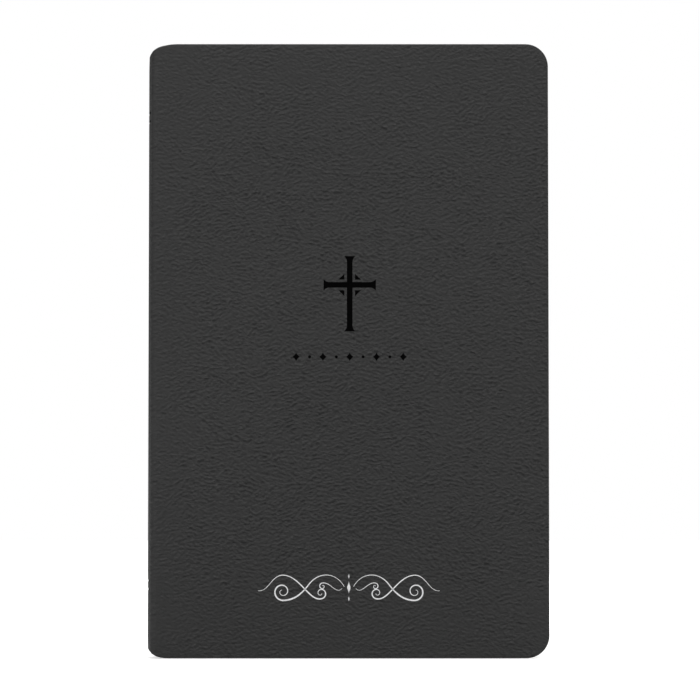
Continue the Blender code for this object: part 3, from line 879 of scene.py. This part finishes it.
def build_foil():
    """A symmetrical pen flourish in place of a stamped name, with no letters in it."""
    work = bmesh.new()
    centre_x, centre_z = FOIL_CENTRE
    for mirror in (1, -1):
        for points, thin, thick in flourish_strokes():
            placed = [(centre_x + mirror * x * MM, centre_z + z * MM) for x, z in points]
            pen_stroke(work, placed, thin * MM, thick * MM)
    for half_height, lift in ((2.0, 0.1), (0.8, 4.0), (0.8, -3.8)):
        drop = [(centre_x, centre_z + (lift + z) * MM) for z in spread(-half_height, half_height, 12)]
        pen_stroke(work, drop, 0.08 * MM, half_height * 0.62 * MM)
    foil = finish_mesh("silver_foil_flourish", work, [FOIL], 40)
    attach(foil, "front_cover")


# ---------------------------------------------------------------- pages


def backbone_x(y):
    radius = SPINE_RADIUS - BACKBONE_DEPTH
    return SPINE_X + SPINE_RADIUS - math.sqrt(radius * radius - y * y)


def leaf_columns(start_x, bend_x, fore_x, slack=0.0, reach=BEND_REACH):
    """(x, tail height, head height) of each column of a leaf, close together where it bends."""
    radius = PAGE_CORNER_RADIUS
    xs = [start_x] + spread(bend_x - reach, bend_x + reach, 16)
    xs = [x for i, x in enumerate(xs) if i == 0 or x > start_x]
    xs += [bend_x + BEND_REACH + 6 * MM, (bend_x + fore_x) / 2]
    columns = [(x, PAGE_TAIL_Z + slack, PAGE_HEAD_Z - slack) for x in xs]
    for u, v in arc(fore_x - radius, 0, radius, 90, 0, 9):
        columns.append((u, PAGE_TAIL_Z + slack + radius - v, PAGE_HEAD_Z - slack - radius + v))
    return columns


def build_leaf(name, y_of, thickness, columns, face, edge):
    """A leaf or a section of leaves. y_of gives the middle of its thickness at x."""
    rings = []
    for x, tail, head in columns:
        y = y_of(x)
        low, high = y - thickness / 2, y + thickness / 2
        rings.append([(x, low, tail), (x, low, head), (x, high, head), (x, high, tail)])
    obj = loft(name, rings, [face, edge], rim=0, caps=(1, 1), smooth_angle=30)
    for polygon in obj.data.polygons:
        if abs(polygon.normal.y) < 0.7:
            polygon.material_index = 1
    return obj


def blend_at_bend(piece, node):
    """Puts a leaf in place of the node of the same name: fixes it where it is and hides that node."""
    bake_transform(piece)
    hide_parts(node)


def build_section(node):
    """One sewn section, from the spine's glue to the fore-edge, with close columns about its joint with the
    spine.
    """
    low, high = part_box(node)
    middle = (low.y + high.y) / 2
    bend_x = JOINTS[node + "_turn"]["pos_m"][0]
    wobble = random.Random(node)
    hollow = FORE_EDGE_HOLLOW * (1 - (middle / HALF_DEPTH) ** 2) + wobble.uniform(0, 0.12) * MM
    columns = leaf_columns(backbone_x(middle), bend_x, high.x - hollow, wobble.uniform(0, 0.08) * MM)
    thickness = high.y - low.y + 0.04 * MM
    piece = build_leaf(node + "_pages", lambda x: middle, thickness, columns, PRINTED_PAGE, PAGE_EDGES)
    blend_at_bend(piece, node)
    return piece


def build_loose_leaf(node, face):
    """A single leaf glued to the block's shoulder, with close columns about its joint."""
    low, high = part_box(node)
    middle = (low.y + high.y) / 2
    bend_x = JOINTS[node + "_turn"]["pos_m"][0]
    columns = leaf_columns(backbone_x(middle) + 0.5 * MM, bend_x, high.x)
    piece = build_leaf(node + "_sheet", lambda x: middle, SHEET_THICKNESS, columns, face, face)
    blend_at_bend(piece, node)


def build_front_flyleaf():
    """The free endpaper: it leaves the fold of the joint just under the first leaf."""
    low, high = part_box("front_flyleaf")
    middle = (low.y + high.y) / 2
    start, reach, dip = JOINT_X + 0.75 * MM, 0.375 * MM, 0.1 * MM

    def y_of(x):
        share = min(max((x - start) / (4 * MM), 0), 1)
        return middle - dip * (1 - share)

    columns = leaf_columns(start, start + reach, high.x, reach=reach)
    piece = build_leaf("front_flyleaf_sheet", y_of, SHEET_THICKNESS, columns, ENDPAPER, ENDPAPER)
    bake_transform(piece)
    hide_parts("front_flyleaf")


def build_inner_joint():
    """Endpaper from the fold beside the flyleaf into the groove and out to the cover's pastedown."""
    axis = JOINTS["front_joint_fold"]["pos_m"]
    waypoints = [(1.15, 4.36), (1.18, 4.05), (1.45, 3.98), (1.9, 4.1), (2.38, 4.26)]
    points = []
    for (u0, v0), (u1, v1) in zip(waypoints, waypoints[1:]):
        points += [(u0 + (u1 - u0) * i / 5, v0 + (v1 - v0) * i / 5) for i in range(5)]
    points.append(waypoints[-1])
    points = [(axis[0] + u * MM, axis[1] + v * MM) for u, v in points]
    low, high = PAGE_TAIL_Z, PAGE_HEAD_Z
    rings = []
    half = SHEET_THICKNESS / 2
    for i, (x, y) in enumerate(points):
        before, after = points[max(i - 1, 0)], points[min(i + 1, len(points) - 1)]
        along = Vector((after[0] - before[0], after[1] - before[1])).normalized()
        side = (-along.y * half, along.x * half)
        a, b = (x + side[0], y + side[1]), (x - side[0], y - side[1])
        rings.append([(*a, low), (*a, high), (*b, high), (*b, low)])
    piece = loft("front_inner_joint", rings, [ENDPAPER])
    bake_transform(piece)


def build_pages():
    sections = [build_section(f"section_{number:02d}") for number in range(1, SECTION_COUNT + 1)]
    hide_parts("section_folds")
    build_loose_leaf("presentation_leaf", PLAIN_PAGE)
    build_loose_leaf("map_leaf", PLAIN_PAGE)
    build_loose_leaf("back_flyleaf", ENDPAPER)
    build_front_flyleaf()
    build_inner_joint()


# ---------------------------------------------------------------- bands and ribbon


def build_band(node):
    """A cord wound with thread in two colours, one narrow turn after another."""
    low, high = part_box(node)
    z = (low.z + high.z) / 2
    radius = (high.z - low.z) / 2
    half = (high.y - low.y) / 2 - radius * 0.2
    turns = 30
    steps = 6
    rings = []
    centre_x = SPINE_X + SPINE_RADIUS
    for i in range(turns * steps + 1):
        y = half * (2 * i / (turns * steps) - 1)
        x = backbone_x(y) + (high.x + low.x) / 2 - (backbone_x(0) + backbone_x(half)) / 2
        swell = radius * (0.9 + 0.1 * abs(math.sin(math.pi * i / steps)))
        reach = math.hypot(x - centre_x, y)
        lean_x, lean_y = (x - centre_x) / reach, y / reach
        ring = []
        for k in range(12):
            turn = 2 * math.pi * k / 12
            out, up = swell * math.cos(turn), swell * math.sin(turn)
            ring.append((x + lean_x * out, y + lean_y * out, z + up))
        rings.append(ring)
    piece = loft(node + "_winding", rings, [BAND, BAND_LIGHT], smooth_angle=60)
    for polygon in piece.data.polygons:
        turn = int((polygon.center.y + half) / (2 * half) * turns)
        polygon.material_index = 1 if turn % 4 in (0, 1) else 0
    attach(piece, "spine")
    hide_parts(node)


def build_ribbon():
    """The marker, a thin satin strip that drifts across the page and ends in a slanted cut."""
    low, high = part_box("ribbon_marker")
    drift = (high.x - low.x) - RIBBON_WIDTH
    middle = (low.y + high.y) / 2
    steps = 60
    across = (0, 0.08, 0.16, 0.24, 0.34, 0.5, 0.75, 1)
    rings = []
    for i in range(steps + 1):
        share = i / steps
        z = high.z + (low.z - high.z) * share
        x = low.x + drift * share * share
        y = middle + 0.05 * MM * math.sin(9 * share)
        cut = RIBBON_CUT if i == steps else 0.0
        front = [(x + RIBBON_WIDTH * t, y - RIBBON_THICKNESS / 2, z + cut * t) for t in across]
        rings.append(front + [(u, v + RIBBON_THICKNESS, w) for u, v, w in reversed(front)])
    piece = loft("ribbon_marker_satin", rings, [RIBBON])
    blend_at_bend(piece, "ribbon_marker")


def paint_kept_nodes():
    """Gives the carried-over pieces of the binding their own looks."""
    board = fibre_material("lining_paper_look", (0.28, 0.19, 0.10), (0.50, 0.36, 0.22), (500, 500, 2500))
    glue = fibre_material("glue_look", (0.66, 0.60, 0.42), (0.84, 0.80, 0.64), (900, 900, 300), 0.4)
    looks = {
        "front_pastedown": ENDPAPER,
        "back_pastedown": ENDPAPER,
        "spine_lining_paper": board,
        "spine_mull": gauze_material(),
        "spine_glue": glue,
    }
    for name, node in NODES.items():
        if name.startswith("sewing_thread"):
            looks[name] = THREAD
    for name, material in looks.items():
        node = NODES[name]
        for slot in node.material_slots:
            slot.material = material
        note_place(node)


# ---------------------------------------------------------------- studio


def add_light(name, location, target, size, power, size_y=None):
    light = bpy.data.lights.new(name, "AREA")
    light.shape = "RECTANGLE"
    light.size = size
    light.size_y = size_y or size
    light.energy = power
    obj = bpy.data.objects.new(name, light)
    bpy.context.scene.collection.objects.link(obj)
    obj.location = location
    obj.rotation_mode = "QUATERNION"
    obj.rotation_quaternion = (Vector(target) - Vector(location)).to_track_quat("-Z", "Y")


def build_studio():
    """A white floor and surroundings, and soft lights above the front, on each side and behind."""
    scene = bpy.context.scene
    scene.view_settings.view_transform = "Standard"
    world = bpy.data.worlds.new("studio")
    world.use_nodes = True
    scene.world = world
    tree = world.node_tree
    background = tree.nodes["Background"]
    background.inputs["Color"].default_value = (1, 1, 1, 1)
    seen = tree.nodes.new("ShaderNodeLightPath")
    strength = tree.nodes.new("ShaderNodeMapRange")
    strength.inputs["To Min"].default_value = 0.20
    strength.inputs["To Max"].default_value = 1.0
    tree.links.new(seen.outputs["Is Camera Ray"], strength.inputs["Value"])
    tree.links.new(strength.outputs["Result"], background.inputs["Strength"])

    mesh = bpy.data.meshes.new("floor")
    work = bmesh.new()
    bmesh.ops.create_grid(work, x_segments=1, y_segments=1, size=6.0)
    work.to_mesh(mesh)
    work.free()
    floor = bpy.data.objects.new("floor", mesh)
    floor.location = (0, 0, -0.0002)
    scene.collection.objects.link(floor)
    s = Shader("pale_floor")
    away = s.node("VectorMath", {0: s.own_place()}, operation="LENGTH").outputs["Value"]
    glow = s.remap(away, 0.10, 0.45, 0.55, 1.0, smooth=True)
    seen_glow = s.math("MULTIPLY", glow, s.node("LightPath").outputs["Is Camera Ray"])
    mesh.materials.append(
        s.finish(
            Base_Color=(0.9, 0.9, 0.9), Roughness=0.95, Specular_IOR_Level=0.1,
            Emission_Color=(1.0, 1.0, 1.0), Emission_Strength=s.math("ADD", seen_glow, 0.02),
        )
    )

    add_light("top_softbox", (0, -0.75, 1.25), (0, 0, 0.1), 1.2, 9.5, 0.7)
    add_light("left_softbox", (-1.0, -0.8, 0.6), (0, 0, 0.13), 0.8, 4.4)
    add_light("right_softbox", (1.1, -0.5, 0.7), (0, 0, 0.13), 0.8, 3.2)
    add_light("back_softbox", (0.2, 1.3, 0.9), (0, 0, 0.1), 1.2, 12.0)


def build_camera():
    """A long lens that looks at the front cover from a little below its middle."""
    camera = bpy.data.cameras.new("camera")
    obj = bpy.data.objects.new("camera", camera)
    bpy.context.scene.collection.objects.link(obj)
    distance, fall = 1.2, math.radians(2.8)
    seen_width, sensor_width = 0.2457, 36.0
    camera.sensor_width = sensor_width
    camera.lens = sensor_width * distance / seen_width
    centre = Vector((0.8 * MM, FRONT_Y, HEAD_Z / 2 - 0.1 * MM))
    obj.location = centre + Vector((0, -math.cos(fall), -math.sin(fall))) * distance
    obj.rotation_mode = "QUATERNION"
    obj.rotation_quaternion = (centre - obj.location).to_track_quat("-Z", "Y")
    camera.clip_start, camera.clip_end = 0.05, 20.0
    bpy.context.scene.camera = obj


build_cover()
build_foil()
build_pages()
for band in ("head_band", "tail_band"):
    build_band(band)
build_ribbon()
paint_kept_nodes()
build_studio()
build_camera()
